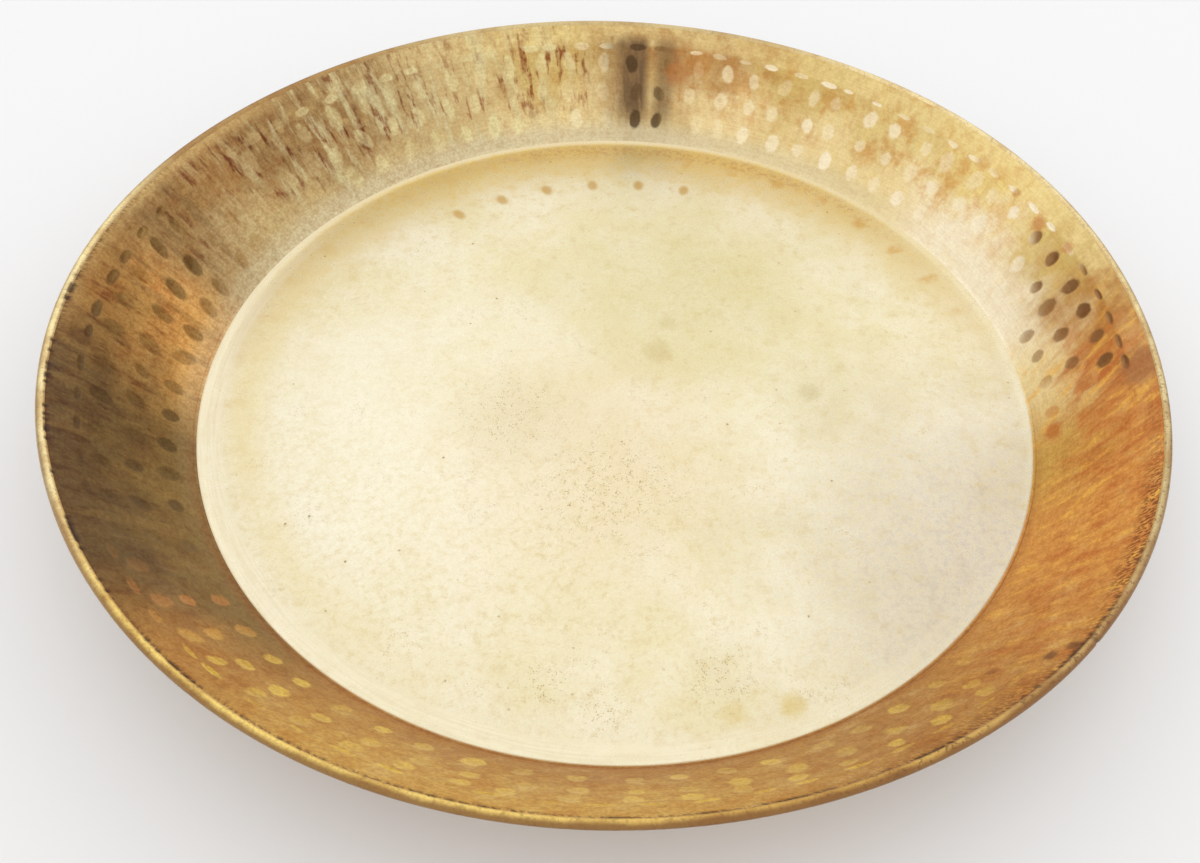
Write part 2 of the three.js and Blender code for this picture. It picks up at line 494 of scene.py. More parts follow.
# Patina and painted reflection by angle in degrees, 0 on the right and 90 at the back: round the foot of
# the wall, round its top, on the hammer marks and on the rim
# Round the wall: partly patina, partly painted reflection, painted paler on the right and at the back and
# darker on the left
FOOT_PATINA_AND_REFLECTION = [(-178, COPPER), (-162, OLIVE), (-136, OLIVE), (-118, HONEY), (-62, HONEY),
               (-28, AMBER), (-14, GOLD), (1, STRAW), (12, CREAM), (32, CREAM), (46, STRAW),
               (78, STRAW), (88, FAWN), (103, STRAW), (125, FAWN), (155, FAWN), (167, DUN),
               (178, COPPER)]
TOP_PATINA_AND_REFLECTION = [(-178, MOSS), (-166, UMBER), (-142, UMBER), (-128, HONEY), (-114, GOLD), (-90, GOLD),
              (-62, HONEY), (-28, AMBER), (-6, RUST), (6, HONEY), (14, KHAKI), (26, PRIMROSE),
              (48, WHEAT), (66, KHAKI), (78, SAND), (92, SAND), (103, KHAKI), (122, FAWN),
              (133, BRONZE), (150, BRONZE), (158, TAN), (168, BRONZE), (178, MOSS)]
# On the hammer marks: partly patina, partly painted reflection, bright yellow in front and dark in the
# band at the back
MARK_PATINA_AND_REFLECTION = [(-178, UMBER), (-170, BARK), (-150, BARK), (-145, UMBER), (-137, RUST), (-126, LEMON),
               (-58, LEMON), (-38, AMBER), (-6, RUST), (4, PEARL), (14, CREAM), (60, CREAM),
               (82, PEARL), (85, TAN), (87, BARK), (93, BARK), (97, PEARL), (108, LINEN),
               (135, LINEN), (150, FAWN), (164, TAN), (168, UMBER), (178, UMBER)]
# On the rim: partly patina, partly painted highlight, bright on top at the left and front
RIM_PATINA_AND_HIGHLIGHT = [(-178, BUTTER), (-152, BUTTER), (-132, CORN), (-112, CORN), (-70, GOLD), (-45, SAND),
              (-25, FAWN), (8, STRAW), (45, STRAW), (85, FAWN), (110, FAWN), (135, TAN), (155, TAN),
              (178, BUTTER)]

# How strongly each kind of wear shows, by angle in degrees
RUBBED_SHOW = [(-140, 0), (-110, 0.25), (140, 0.25), (160, 0)]
SMEARS_SHOW = [(92, 0), (108, 0.6), (118, 1), (145, 1), (160, 0.3), (170, 0)]
STREAKS_SHOW = [(-178, 0.6), (-140, 0.4), (-125, 0.05), (72, 0.1), (94, 0.5), (101, 1), (150, 1),
                (178, 0.6)]
STROKES_SHOW = [(-66, 0), (-45, 0.6), (-30, 1), (-6, 1), (8, 0.3), (20, 0.1), (80, 0.2), (90, 0)]
BLOTCHES_SHOW = [(-178, 0.5), (-140, 0.5), (-60, 0.6), (0, 0.7), (15, 0.3), (40, 0.9), (60, 0.8),
                 (85, 0.8), (98, 0.4), (120, 0.3), (140, 0.6), (178, 0.6)]
LOW_MARKS_SHOW = [(-178, 0.8), (-152, 0.7), (-146, 0.5), (-141, 0.5), (-132, 0.9), (-62, 0.8),
                  (-44, 0.2), (-20, 0.4), (-4, 0.7), (16, 0.9), (40, 0.9), (80, 0.9), (86, 1),
                  (94, 1), (98, 0.8), (150, 0.5), (158, 0.8), (178, 0.8)]
HIGH_MARKS_SHOW = [(-178, 0.7), (-152, 0.6), (-146, 0.5), (-141, 0.5), (-132, 0.9), (-62, 0.8),
                   (-44, 0.2), (-20, 0.4), (-4, 0.7), (16, 0.9), (40, 0.8), (80, 0.6), (86, 1),
                   (94, 1), (98, 0.6), (150, 0.45), (158, 0.8), (178, 0.7)]
POLISH_SHOW = [(-178, 0.35), (-140, 0.3), (-125, 0.5), (-60, 0.5), (-44, 0.1), (30, 0.2), (80, 0.3),
               (86, 0.5), (94, 0.5), (97, 0.3), (150, 0.3), (164, 0.4), (168, 0.7), (178, 0.5)]
# Dark hammer marks on the right: partly tarnish, partly painted reflection
DARK_MARKS_END = [(3, 1), (8, 0)]
DARK_MARKS_START = [(-2, 0), (3, 1)]
DARK_SLIVERS_END = [(10, 1), (13, 0)]
# Painted reflection: a dark upright band on the wall at the back
DARK_BAND_REFLECTION_SHOW = [(85, 0), (86, 0.7), (87.4, 0.65), (88.2, 0), (88.9, 0.1), (89.8, 1), (92.4, 1),
                  (94.6, 0.3), (98, 0)]
# Painted reflection: a pale band at the foot of the wall and on the floor's edge
PALE_FOOT_REFLECTION_SHOW = [(-178, 0.4), (-160, 0.1), (-130, 0), (-10, 0), (30, 0.1), (60, 0.7), (90, 1),
                  (150, 1), (178, 0.4)]
PALE_LIP_SHOW = [(-20, 0), (4, 0.3), (14, 1), (30, 0.9), (44, 0.4), (60, 0.6), (110, 0.7),
                 (130, 0.3), (150, 0)]
CREASE_WEAR = [(-178, 0.8), (-150, 0.9), (-60, 1), (-30, 0.5), (-20, 0), (150, 0), (178, 0.8)]
LEFT_LIP_SHOW = [(-178, 0.4), (-166, 0), (138, 0), (150, 0.8), (165, 1), (178, 0.5)]
# Painted shade under the rolled rim, by angle
UNDER_RIM_SHADE_SHOW = [(-178, 0.4), (-150, 0.8), (-130, 1), (-90, 1), (-50, 1), (-10, 0.5), (30, 0.3),
              (150, 0.2), (178, 0.2)]
RIM_PITS_SHOW = [(-80, 0), (-68, 0.4), (-56, 0.75), (-47, 0.3), (-42, 0.4), (-37, 1), (-26, 1),
                 (-18, 0.4), (-8, 0)]
RIM_SPECKS_SHOW = [(-178, 0.3), (-80, 0.5), (-65, 1), (-20, 1), (10, 0.4), (150, 0.2), (178, 0.3)]
LEFT_STREAKS_SHOW = [(-178, 1), (-150, 0.8), (-128, 0), (150, 0), (166, 0.9), (178, 1)]
GRAIN_SHOW = [(-178, 0.32), (-60, 0.32), (-20, 0.25), (5, 0.1), (75, 0.12), (110, 0.2), (140, 0.28),
              (178, 0.32)]
FOOT_LINE_SHOW = [(-178, 0.3), (-160, 0.4), (-130, 0.8), (-60, 0.9), (-30, 0.8), (-10, 0.4), (4, 0),
                  (165, 0), (178, 0.3)]
# Painted highlight along the floor's edge, by angle
PALE_RING_HIGHLIGHT_SHOW = [(-178, 1), (-95, 1), (-65, 0.5), (-30, 0.1), (0, 0), (140, 0), (165, 0.8), (178, 1)]
SPECKLED_EDGE_SHOW = [(30, 0), (50, 0.6), (70, 1), (105, 1), (125, 0.3), (140, 0)]
GOLDEN_EDGE_SHOW = [(-178, 1), (-130, 0.6), (-110, 0.1), (0, 0), (150, 0.5), (178, 1)]
# Painted reflection of the wall on the floor at the back, by angle
BACK_WALL_REFLECTION_SHOW = [(-8, 0), (30, 0.4), (70, 1), (125, 1), (155, 0.7), (178, 0.2)]
DARK_SPOTS_SHOW = [(74, 0), (79, 1), (131, 1), (136, 0)]
FAINT_SPOTS_SHOW = [(-178, 0.3), (-140, 0.1), (10, 0), (25, 0.9), (75, 0.9), (90, 0.3), (125, 0.3),
                    (140, 0.5), (178, 0.3)]

# Noise: size of its lumps, detail and roughness; a streak is also stretched round and up the wall
Cloud = namedtuple("Cloud", "size detail roughness", defaults=(3, 0.55))
Streak = namedtuple("Streak", "around up size detail roughness", defaults=(3, 0.55))

# Wear: its tone, limits between which it grows from nothing to full, or from one share to another,
# how it shows by angle, its share, and how it is laid on
Wear = namedtuple("Wear", "tone limits show share way", defaults=(None, 1, "MIX"))

# Lines round the platter: place up the sheet from the foot of the wall, and half width
Line = namedtuple("Line", "tone path half show share", defaults=(1,))

# Stains: angle in degrees, place up the sheet from the foot of the wall, radius, share and tone;
# the core is the share of the radius that is stained in full
Stain = namedtuple("Stain", "degrees path radius share tone")
STAIN_CORE = 0.35
NO_CORE = 0
STAIN_LUMPS = 3
STAIN_DETAIL = 5
STAIN_ROUGHNESS = 0.65
STAIN_RAGGED = (0.75, 1.3)

# Rings of faint hammer marks on the floor: radius, marks in the ring, half width of one, its tone
# and how it shows by angle; each mark is drawn out across the ring
SpotRing = namedtuple("SpotRing", "radius marks half tone show")
SPOT_LENGTH = 0.65
SPOT_CORE = 1 / 3
HALF_SPACE = 0.5

# Noise lies mostly between these values, round a half
NOISE_RANGE = (0.3, 0.7)
NOISE_MIDDLE = 0.5

# Dots reach over a share of the space between them
DOT_REACH = 0.4

# Ramps run once round from the far left, so the right of the platter lies at their middle
RAMP_MIDDLE = 0.5

# Sockets of a node that mixes colours
MIX_SHARE, MIX_FIRST, MIX_SECOND = 0, 6, 7
MIX_RESULT = 2

# Colours are written as they are seen, and shaders take them in linear light
COLOUR_STEPS = 255
LINEAR_LIMIT = 0.04045
LINEAR_SLOPE = 12.92
CURVE_SHIFT = 0.055
CURVE_POWER = 2.4


def linear(channel):
    if channel <= LINEAR_LIMIT:
        return channel / LINEAR_SLOPE
    return ((channel + CURVE_SHIFT) / (1 + CURVE_SHIFT)) ** CURVE_POWER


def colour(code):
    """A colour such as #c8a05a in the linear values that shaders take"""
    red, green, blue = bytes.fromhex(code.lstrip("#"))
    return (*(linear(channel / COLOUR_STEPS) for channel in (red, green, blue)), 1)


class Finish:
    """A metal material, with short ways to build the pattern of its nodes"""

    def __init__(self, name, metallic=1.0):
        self.material = bpy.data.materials.new(name)
        self.material.use_nodes = True
        self.nodes = self.material.node_tree.nodes
        self.links = self.material.node_tree.links
        self.shader = self.nodes["Principled BSDF"]
        self.shader.inputs["Metallic"].default_value = metallic
        self.place = self.nodes.new("ShaderNodeTexCoord").outputs["Object"]
        self.up = self.named("up")
        flat = self.vector("MULTIPLY", self.place, (1, 1, 0))
        self.ring = self.vector("NORMALIZE", flat)
        self.radius = self.vector("LENGTH", flat)
        split = self.nodes.new("ShaderNodeSeparateXYZ")
        self.feed(split.inputs[0], self.place)
        angle = self.calc("ARCTAN2", split.outputs["Y"], split.outputs["X"])
        self.turn = self.calc("ADD", self.calc("DIVIDE", angle, FULL_TURN), RAMP_MIDDLE)
        self.metal = None

    def feed(self, socket, value):
        """Links a node's output to a socket, or sets a plain value on it"""
        if isinstance(value, bpy.types.NodeSocket):
            self.links.new(value, socket)
        else:
            socket.default_value = colour(value) if isinstance(value, str) else value

    def named(self, name):
        """A value that was stored on the mesh under a name"""
        node = self.nodes.new("ShaderNodeAttribute")
        node.attribute_name = name
        return node.outputs["Fac"]

    def calc(self, operation, first, second=0.0):
        node = self.nodes.new("ShaderNodeMath")
        node.operation = operation
        self.feed(node.inputs[0], first)
        self.feed(node.inputs[1], second)
        return node.outputs[0]

    def product(self, first, *others):
        for other in others:
            first = self.calc("MULTIPLY", first, other)
        return first

    def total(self, first, *others):
        for other in others:
            first = self.calc("ADD", first, other)
        return first

    def vector(self, operation, first, second=(0, 0, 0)):
        node = self.nodes.new("ShaderNodeVectorMath")
        node.operation = operation
        self.feed(node.inputs[0], first)
        self.feed(node.inputs[1], second)
        return node.outputs["Value" if operation in ("LENGTH", "DISTANCE") else "Vector"]

    def span(self, value, low, high, least=0.0, most=1.0, way="SMOOTHSTEP"):
        """Least where a value is at low, most where it is at high, and smooth between"""
        node = self.nodes.new("ShaderNodeMapRange")
        node.interpolation_type = way
        for socket, setting in zip(node.inputs, (value, low, high, least, most)):
            self.feed(socket, setting)
        return node.outputs[0]

    def sway(self, noise, least, most):
        """Evenly from least to most with a noise"""
        return self.span(noise, *NOISE_RANGE, least, most, "LINEAR")

    def mix(self, share, first, second, way="MIX"):
        node = self.nodes.new("ShaderNodeMix")
        node.data_type = "RGBA"
        node.blend_type = way
        for socket, value in ((MIX_SHARE, share), (MIX_FIRST, first), (MIX_SECOND, second)):
            self.feed(node.inputs[socket], value)
        return node.outputs[MIX_RESULT]

    def noise(self, cloud, place=None):
        """Cloudy values round a half"""
        node = self.nodes.new("ShaderNodeTexNoise")
        self.feed(node.inputs["Vector"], place or self.place)
        node.inputs["Scale"].default_value = 1 / cloud.size
        node.inputs["Detail"].default_value = cloud.detail
        node.inputs["Roughness"].default_value = cloud.roughness
        return node.outputs[0]

    def streaks(self, streak):
        """Noise on the rolled-out sheet, stretched round the platter or up the wall"""
        reach = RIM_RADIUS * streak.around
        rise = self.nodes.new("ShaderNodeCombineXYZ")
        self.feed(rise.inputs["Z"], self.calc("MULTIPLY", self.up, CREASE_PATH * streak.up))
        ring = self.vector("MULTIPLY", self.ring, (reach, reach, reach))
        return self.noise(streak, self.vector("ADD", ring, rise.outputs[0]))

    def strokes(self, cloud, degrees, stretched):
        """Noise in strokes that lean away from the rim"""
        round_rim = self.calc("MULTIPLY", self.turn, FULL_TURN * RIM_RADIUS)
        up_wall = self.calc("MULTIPLY", self.up, CREASE_PATH)
        lean = along(math.radians(degrees))
        node = self.nodes.new("ShaderNodeCombineXYZ")
        length = self.total(self.product(round_rim, lean.x), self.product(up_wall, lean.y))
        width = self.total(self.product(up_wall, lean.x), self.product(round_rim, -lean.y))
        self.feed(node.inputs["X"], self.product(length, stretched))
        self.feed(node.inputs["Y"], width)
        return self.noise(cloud, node.outputs[0])

    def dots(self, spacing, reach=DOT_REACH):
        """1 on round dots, 0 elsewhere; their reach is a share of the space between them"""
        node = self.nodes.new("ShaderNodeTexVoronoi")
        self.feed(node.inputs["Vector"], self.place)
        node.inputs["Scale"].default_value = 1 / spacing
        return self.span(node.outputs["Distance"], reach, reach / 2)

    def around(self, stops, lean=0):
        """A tone or share for each angle; with a lean, the stops lie further round up the wall"""
        node = self.nodes.new("ShaderNodeValToRGB")
        node.color_ramp.interpolation = "EASE"
        elements = node.color_ramp.elements
        elements.remove(elements[0])
        for number, (degrees, tone) in enumerate(stops):
            place = degrees / FULL_DEGREES + RAMP_MIDDLE
            element = elements.new(place) if number else elements[0]
            element.position = place
            element.color = colour(tone) if isinstance(tone, str) else (tone, tone, tone, 1)
        turn = self.turn
        if lean:
            turn = self.calc("SUBTRACT", turn, self.calc("MULTIPLY", self.up, lean / FULL_DEGREES))
        self.feed(node.inputs[0], turn)
        return node.outputs[0]

    def band(self, path, half):
        """1 along one line round the platter, 0 at a distance up or down the sheet"""
        away = self.calc("ABSOLUTE", self.calc("SUBTRACT", self.up, path / CREASE_PATH))
        return self.span(away, half / CREASE_PATH, 0.0)

    def stain(self, degrees, path, radius, core=STAIN_CORE):
        """1 at one place on the sheet, fading unevenly to 0 at a radius from it"""
        section = sheet_at(path)[0]
        turn = math.radians(degrees)
        centre = (section[0] * math.cos(turn), section[0] * math.sin(turn), section[1])
        lumps = self.noise(Cloud(radius / STAIN_LUMPS, STAIN_DETAIL, STAIN_ROUGHNESS))
        away = self.vector("DISTANCE", self.place, centre)
        away = self.calc("MULTIPLY", away, self.sway(lumps, *STAIN_RAGGED))
        return self.span(away, radius, radius * core)

    def coat(self, share, tone, way="MIX"):
        """Lays a tone over the metal"""
        self.metal = self.mix(share, self.metal, tone, way)

    def wear(self, kind, value, *where):
        """Lays one kind of wear over the metal, by a value, by angle and by place"""
        shown = self.product(self.span(value, *kind.limits), *where, kind.share)
        if kind.show:
            shown = self.product(shown, self.around(kind.show))
        self.coat(shown, kind.tone, kind.way)
        return shown

    def line(self, kind, *where):
        """Lays a line round the platter over the metal"""
        band = self.product(self.band(kind.path, kind.half), self.around(kind.show))
        self.coat(self.product(band, *where, kind.share), kind.tone)

    def stains(self, kinds, *where, core=STAIN_CORE):
        for kind in kinds:
            stain = self.stain(kind.degrees, kind.path, kind.radius, core)
            self.coat(self.product(stain, *where, kind.share), kind.tone)

    def spots(self, kind, share):
        """Oval spots over the metal, so many in a ring at a radius on the floor"""
        aside = self.calc("PINGPONG", self.calc("MULTIPLY", self.turn, kind.marks), HALF_SPACE)
        across = self.calc("MULTIPLY", aside, FULL_TURN * kind.radius / kind.marks)
        out = self.calc("MULTIPLY", self.calc("SUBTRACT", self.radius, kind.radius), SPOT_LENGTH)
        away = self.total(self.calc("POWER", across, 2), self.calc("POWER", out, 2))
        spot = self.span(self.calc("SQRT", away), kind.half, kind.half * SPOT_CORE)
        self.coat(self.product(spot, self.around(kind.show), share), kind.tone)

    def grime(self):
        """Dirt that has settled in the crease and the joint"""
        self.coat(self.product(self.named("grime"), self.around(CREASE_WEAR)), SOOT)

    def finish(self, roughness, height, relief):
        """Joins the colour, a roughness and a bump of so many metres to the shader"""
        bump = self.nodes.new("ShaderNodeBump")
        bump.inputs["Distance"].default_value = relief
        self.feed(bump.inputs["Height"], height)
        self.feed(self.shader.inputs["Base Color"], self.metal)
        self.feed(self.shader.inputs["Roughness"], roughness)
        self.feed(self.shader.inputs["Normal"], bump.outputs[0])
        return self.material


# Fine lines left by turning, on the floor and on the outside
TURNED_LINES = Streak(0.03, 1, 0.8 * MM, 2)
DULL_SPECULAR = 0.25

# The floor of the dish
FLOOR_METALLIC = 0.5
FLOOR_CLOUDS = Cloud(45 * MM, 6, 0.62)
FLOOR_MOTTLE = Cloud(7 * MM, 6, 0.7)
FLOOR_FLECKS = Cloud(2.6 * MM, 5, 0.75)
FLOOR_GRAIN = Cloud(0.9 * MM, 4, 0.6)
FLOOR_TONES = ("#eae0b8", "#f1eacf")
FLOOR_CLOUDED = (0.36, 0.64)
FLOOR_CASTS = [
    Stain(65, -105 * MM, 110 * MM, 0.7, "#d2c68a"),
    Stain(-110, -115 * MM, 95 * MM, 0.6, "#e4cca2"),
    Stain(-150, -50 * MM, 130 * MM, 0.8, "#f9f3de"),
    Stain(-32, -5 * MM, 130 * MM, 1, "#d2c8b8"),
    Stain(-48, -10 * MM, 45 * MM, 0.5, "#c9bda6"),
    Stain(-4, -91 * MM, 34 * MM, 0.45, "#cfc38c"),
    Stain(-151, -113 * MM, 38 * MM, 0.4, "#d4c494"),
]
CAST_FLECKS = (0.65, 0.35, 0.4, 1)
SMOOTH_PATCH = (-168, -70 * MM, 115 * MM)
SMOOTHED = (0, 1, 0.25, 0.05, "LINEAR")
MOTTLED = Wear("#e4cf98", (0.5, 0.7), way="MULTIPLY")
FLECKED = Wear("#dcc490", (0.5, 0.66), way="MULTIPLY")
# Painted reflection: a golden tint on the floor's outer part at the back
REFLECTION_RAGGED = 40 * MM
REFLECTION_FLECKS = (0.6, 0.4, 0.6, 1)
BACK_WALL_REFLECTION = Wear("#e2c67a", (124 * MM, 160 * MM), BACK_WALL_REFLECTION_SHOW)
FLOOR_STAINS = [
    Stain(-68.75, -10 * MM, 6.5 * MM, 0.5, "#d4b856"),
    Stain(-76, -13.5 * MM, 6 * MM, 0.3, "#d4b856"),
    Stain(54, -147 * MM, 9 * MM, 0.28, "#b8a04e"),
    Stain(65, -130 * MM, 6 * MM, 0.2, "#b8a04e"),
    Stain(-4.5, -91 * MM, 7 * MM, 0.24, "#b09650"),
]
DARK_SPOTS = SpotRing(129 * MM, 36, 3.5 * MM, "#c4983a", DARK_SPOTS_SHOW)
DARK_SPOTS_SHARE = 0.7
FAINT_SPOTS = SpotRing(153 * MM, 40, 4.5 * MM, "#d4a858", FAINT_SPOTS_SHOW)
FAINT_SPOTS_MOTTLE = (0.4, 0.6, 0.2, 0.7)
GOLDEN_EDGE = Line("#ead9a0", -16 * MM, 13 * MM, GOLDEN_EDGE_SHOW)
GOLDEN_CLOUDS = (0.35, 0.65, 0.3, 0.8)
SPECK_CLUSTERS = Cloud(22 * MM, 5, 0.6)
SPECK_CLUSTERED = (0.54, 0.64, 0, 0.5)
SPECK_PATCHES = [(-96, -105 * MM, 48 * MM), (-154, -113 * MM, 36 * MM), (-76, -26 * MM, 20 * MM),
                 (-92, -18 * MM, 14 * MM), (-100, -25 * MM, 13 * MM)]
SPECK_SPACING = 0.8 * MM
SPECKS = Wear("#94703f", (0.46, 0.56), share=0.75)
PINHOLE_SPACING = 7 * MM
PINHOLE_REACH = 0.09
PINHOLES = Wear("#8a6a3c", (0.48, 0.6, 0, 0.7))
SPECKLED_EDGE = Line("#c48e3c", -7 * MM, 9 * MM, SPECKLED_EDGE_SHOW, 0.55)
EDGE_FLECKS = (0.47, 0.57)
FLOOR_GRAINY = Wear("#c8aa6c", (0.35, 0.65, 0, 0.12), way="MULTIPLY")
# Painted highlight: a pale band along the floor's edge, with turned lines in it
PALE_RING_HIGHLIGHT = Wear("#f4ebcc", (-0.165, -0.115), PALE_RING_HIGHLIGHT_SHOW, 0.65)
RING_LINES = Wear("#cdb488", (0.4, 0.65), share=0.2, way="MULTIPLY")
# Painted reflection on the floor's edge at the corner
PALE_EDGE_REFLECTION = Wear("#e6dabc", (-0.04, 0.0), PALE_FOOT_REFLECTION_SHOW, 0.6)
EDGE_LINE = Line("#a87c48", 0.4 * MM, 0.5 * MM, FOOT_LINE_SHOW, 0.6)
FLOOR_ROUGHNESS = (0.7, 1.3, 0.24, 0.42, "LINEAR")
MOTTLE_RELIEF = 2
FLOOR_RELIEF = 0.018 * MM


class DishFloor(Finish):
    """Pale, worn brass with cloudy stains, fine specks, a golden edge, a painted reflection of the wall at
    the back and a painted highlight along the edge
    """

    def __init__(self):
        super().__init__("dish_floor_brass", FLOOR_METALLIC)
        self.shader.inputs["Specular IOR Level"].default_value = DULL_SPECULAR
        self.clouds = self.noise(FLOOR_CLOUDS)
        self.mottle = self.noise(FLOOR_MOTTLE)
        self.flecks = self.noise(FLOOR_FLECKS)
        self.grain = self.noise(FLOOR_GRAIN)
        self.metal = self.mix(self.span(self.clouds, *FLOOR_CLOUDED), *FLOOR_TONES)

    def casts(self):
        self.stains(FLOOR_CASTS, self.span(self.flecks, *CAST_FLECKS), core=NO_CORE)
        worn = self.span(self.stain(*SMOOTH_PATCH, NO_CORE), *SMOOTHED)
        self.wear(MOTTLED, self.mottle, worn)
        self.wear(FLECKED, self.flecks, worn)
        # Painted reflection of the wall on the floor at the back
        ragged = self.product(self.calc("SUBTRACT", self.mottle, NOISE_MIDDLE), REFLECTION_RAGGED)
        self.wear(BACK_WALL_REFLECTION, self.total(self.radius, ragged), self.span(self.flecks, *REFLECTION_FLECKS))

    def specks(self):
        cluster = self.span(self.noise(SPECK_CLUSTERS), *SPECK_CLUSTERED)
        for patch in SPECK_PATCHES:
            cluster = self.calc("MAXIMUM", cluster, self.stain(*patch, NO_CORE))
        self.wear(SPECKS, self.flecks, self.dots(SPECK_SPACING), cluster)
        self.wear(PINHOLES, self.mottle, self.dots(PINHOLE_SPACING, PINHOLE_REACH))
        self.line(SPECKLED_EDGE, self.span(self.flecks, *EDGE_FLECKS))
        self.wear(FLOOR_GRAINY, self.grain)

    def edges(self):
        # Painted highlight along the floor's edge, and turned lines in it
        ring_highlight = self.wear(PALE_RING_HIGHLIGHT, self.up)
        self.wear(RING_LINES, self.streaks(TURNED_LINES), ring_highlight)
        # Painted reflection on the corner at the back
        self.wear(PALE_EDGE_REFLECTION, self.up)
        self.line(EDGE_LINE)


def dish_floor_brass():
    floor = DishFloor()
    floor.casts()
    floor.stains(FLOOR_STAINS)
    floor.spots(DARK_SPOTS, DARK_SPOTS_SHARE)
    floor.spots(FAINT_SPOTS, floor.span(floor.mottle, *FAINT_SPOTS_MOTTLE))
    floor.line(GOLDEN_EDGE, floor.span(floor.clouds, *GOLDEN_CLOUDS))
    floor.specks()
    floor.edges()
    roughness = floor.span(floor.total(floor.grain, floor.mottle), *FLOOR_ROUGHNESS)
    height = floor.total(floor.product(floor.mottle, MOTTLE_RELIEF), floor.grain)
    return floor.finish(roughness, height, FLOOR_RELIEF)


# The wall of the dish; heights are shares of the way up from its foot to the crease
WALL_CLOUDS = Cloud(30 * MM, 5, 0.6)
WALL_BLOTS = Cloud(11 * MM, 6, 0.68)
WALL_FLECKS = Cloud(3 * MM, 4, 0.6)
WALL_GRAIN = Cloud(1.1 * MM)
WALL_LINES = Streak(0.05, 1, 0.7 * MM, 2)
WALL_STREAKS = Streak(1, 0.27, 3.3 * MM, 4, 0.58)
WALL_SMEARS = Streak(1.1, 0.26, 7 * MM, 3, 0.6)
WALL_STROKES = Cloud(5.5 * MM, 4, 0.6)
STROKE_LEAN = 68
STROKE_STRETCH = 0.28
UPPER = (0.15, 0.45)
PATINA_HEIGHT = (0.1, 0.8)
PATINA_RAGGED = (-0.3, 0.3)
BLOTCHES = Wear("#e2ac62", (0.46, 0.64), BLOTCHES_SHOW, 0.65, "MULTIPLY")
RUBBED = Wear("#ecd088", (0.46, 0.34), RUBBED_SHOW)
DARK_STROKES = Wear("#c4702e", (0.48, 0.66), STROKES_SHOW, 0.8)
BRIGHT_STROKES = Wear("#f2bc54", (0.48, 0.34), STROKES_SHOW, 0.75)
FADED = Wear("#d8d0a2", (0.48, 0.64), SMEARS_SHOW, 0.75)
LEFT_RUBBED = Wear("#b4904e", (0.5, 0.66), LEFT_STREAKS_SHOW, 0.2)
LEFT_DULLED = Wear("#5a4022", (0.48, 0.34), LEFT_STREAKS_SHOW, 0.3)
STREAKED = Wear("#b07044", (0.51, 0.66), STREAKS_SHOW, way="MULTIPLY")
STREAK_CLOUDS = (0.38, 0.52, 0.5, 1)
STREAK_FLECKS = (0.35, 0.6, 0.5, 1)
PALE_LIP = Wear("#f2de9e", (0.82, 0.86), PALE_LIP_SHOW)
LIP_BLOTS = (0.6, 0.4, 0.4, 0.8)
LIP_FLECKS = (0.62, 0.42, 0.8, 1)
LEFT_LIP = Line("#d8ba7c", CREASE_PATH, 6 * MM, LEFT_LIP_SHOW, 0.8)
# A dark upright band of painted reflection at the back, in streaks
DARK_BAND_REFLECTION = Wear("#745a3a", (0.96, 0.84), DARK_BAND_REFLECTION_SHOW)
BAND_STREAKS = (0.64, 0.46, 0.7, 1)
BAND_FOOT = (0.08, 0.35, 0.3, 1)
# Painted reflection: a pale band at the foot of the wall
PALE_FOOT_REFLECTION = Wear("#dcd2b0", (0.24, 0.08), PALE_FOOT_REFLECTION_SHOW, 0.75)
MARK_EDGE = (1.15, 0.75)
MARK_RAGGED = (-0.12, 0.12)
ABOVE_LOW_ROW = (0.28, 0.4)
BELOW_LIP = (0.78, 0.74)
# Dark marks on the right, partly tarnish and partly painted reflection
DARK_END_LEAN = 22
DARK_START_LEAN = -10
DARK_MARKS_RISE = (0.2, 0.65, 0.6, 1)
DARK_MARKS_SHARE = (*MARK_TONES, 0.8, 1, "LINEAR")
DARK_MARK_TONE = "#a07850"
WALL_STAINS = [
    Stain(-47.3, 54 * MM, 3.4 * MM, 0.8, "#6d4020"),
    Stain(-49, 49 * MM, 3.6 * MM, 0.7, "#6d4020"),
    Stain(-52, 33 * MM, 2.6 * MM, 0.6, "#8a5528"),
    Stain(-17.5, 30 * MM, 8 * MM, 0.5, "#c06e30"),
    Stain(-9.8, 10.5 * MM, 6 * MM, 0.8, "#c4722e"),
    Stain(-5, 27 * MM, 6 * MM, 0.6, "#c4722e"),
    Stain(-7, 51 * MM, 14 * MM, 0.55, "#9a6a44"),
    Stain(15, 46 * MM, 4 * MM, 0.5, "#c4722e"),
    Stain(21, 43 * MM, 5 * MM, 0.6, "#c4722e"),
    Stain(27, 46 * MM, 3 * MM, 0.5, "#b8722e"),
    Stain(34, 47 * MM, 5 * MM, 0.35, "#c88038"),
    Stain(84.5, 36 * MM, 9 * MM, 0.6, "#b06a2c"),
    Stain(81, 42 * MM, 9 * MM, 0.5, "#c08034"),
    Stain(112, 28 * MM, 7 * MM, 0.4, "#b08038"),
    Stain(-171, 49 * MM, 6 * MM, 0.5, "#5c3c1c"),
]
FOOT_SHADE = Line("#a05c2c", 3 * MM, 4 * MM, FOOT_LINE_SHOW, 0.4)
FOOT_LINE = Line("#8a5226", 2 * MM, 0.6 * MM, FOOT_LINE_SHOW, 0.8)
LINED = Wear("#c29c68", (0.38, 0.62, 0, 0.1), way="MULTIPLY")
WALL_FLECKED = Wear("#c8a060", (0.45, 0.65), GRAIN_SHOW, way="MULTIPLY")
WALL_GRAINY = Wear("#b98c50", (0.38, 0.62), GRAIN_SHOW, way="MULTIPLY")
PITS = Cloud(0.9 * MM)
PIT_LEAN = 60
PIT_STRETCH = 0.4
PITTED = (0.46, 0.56)
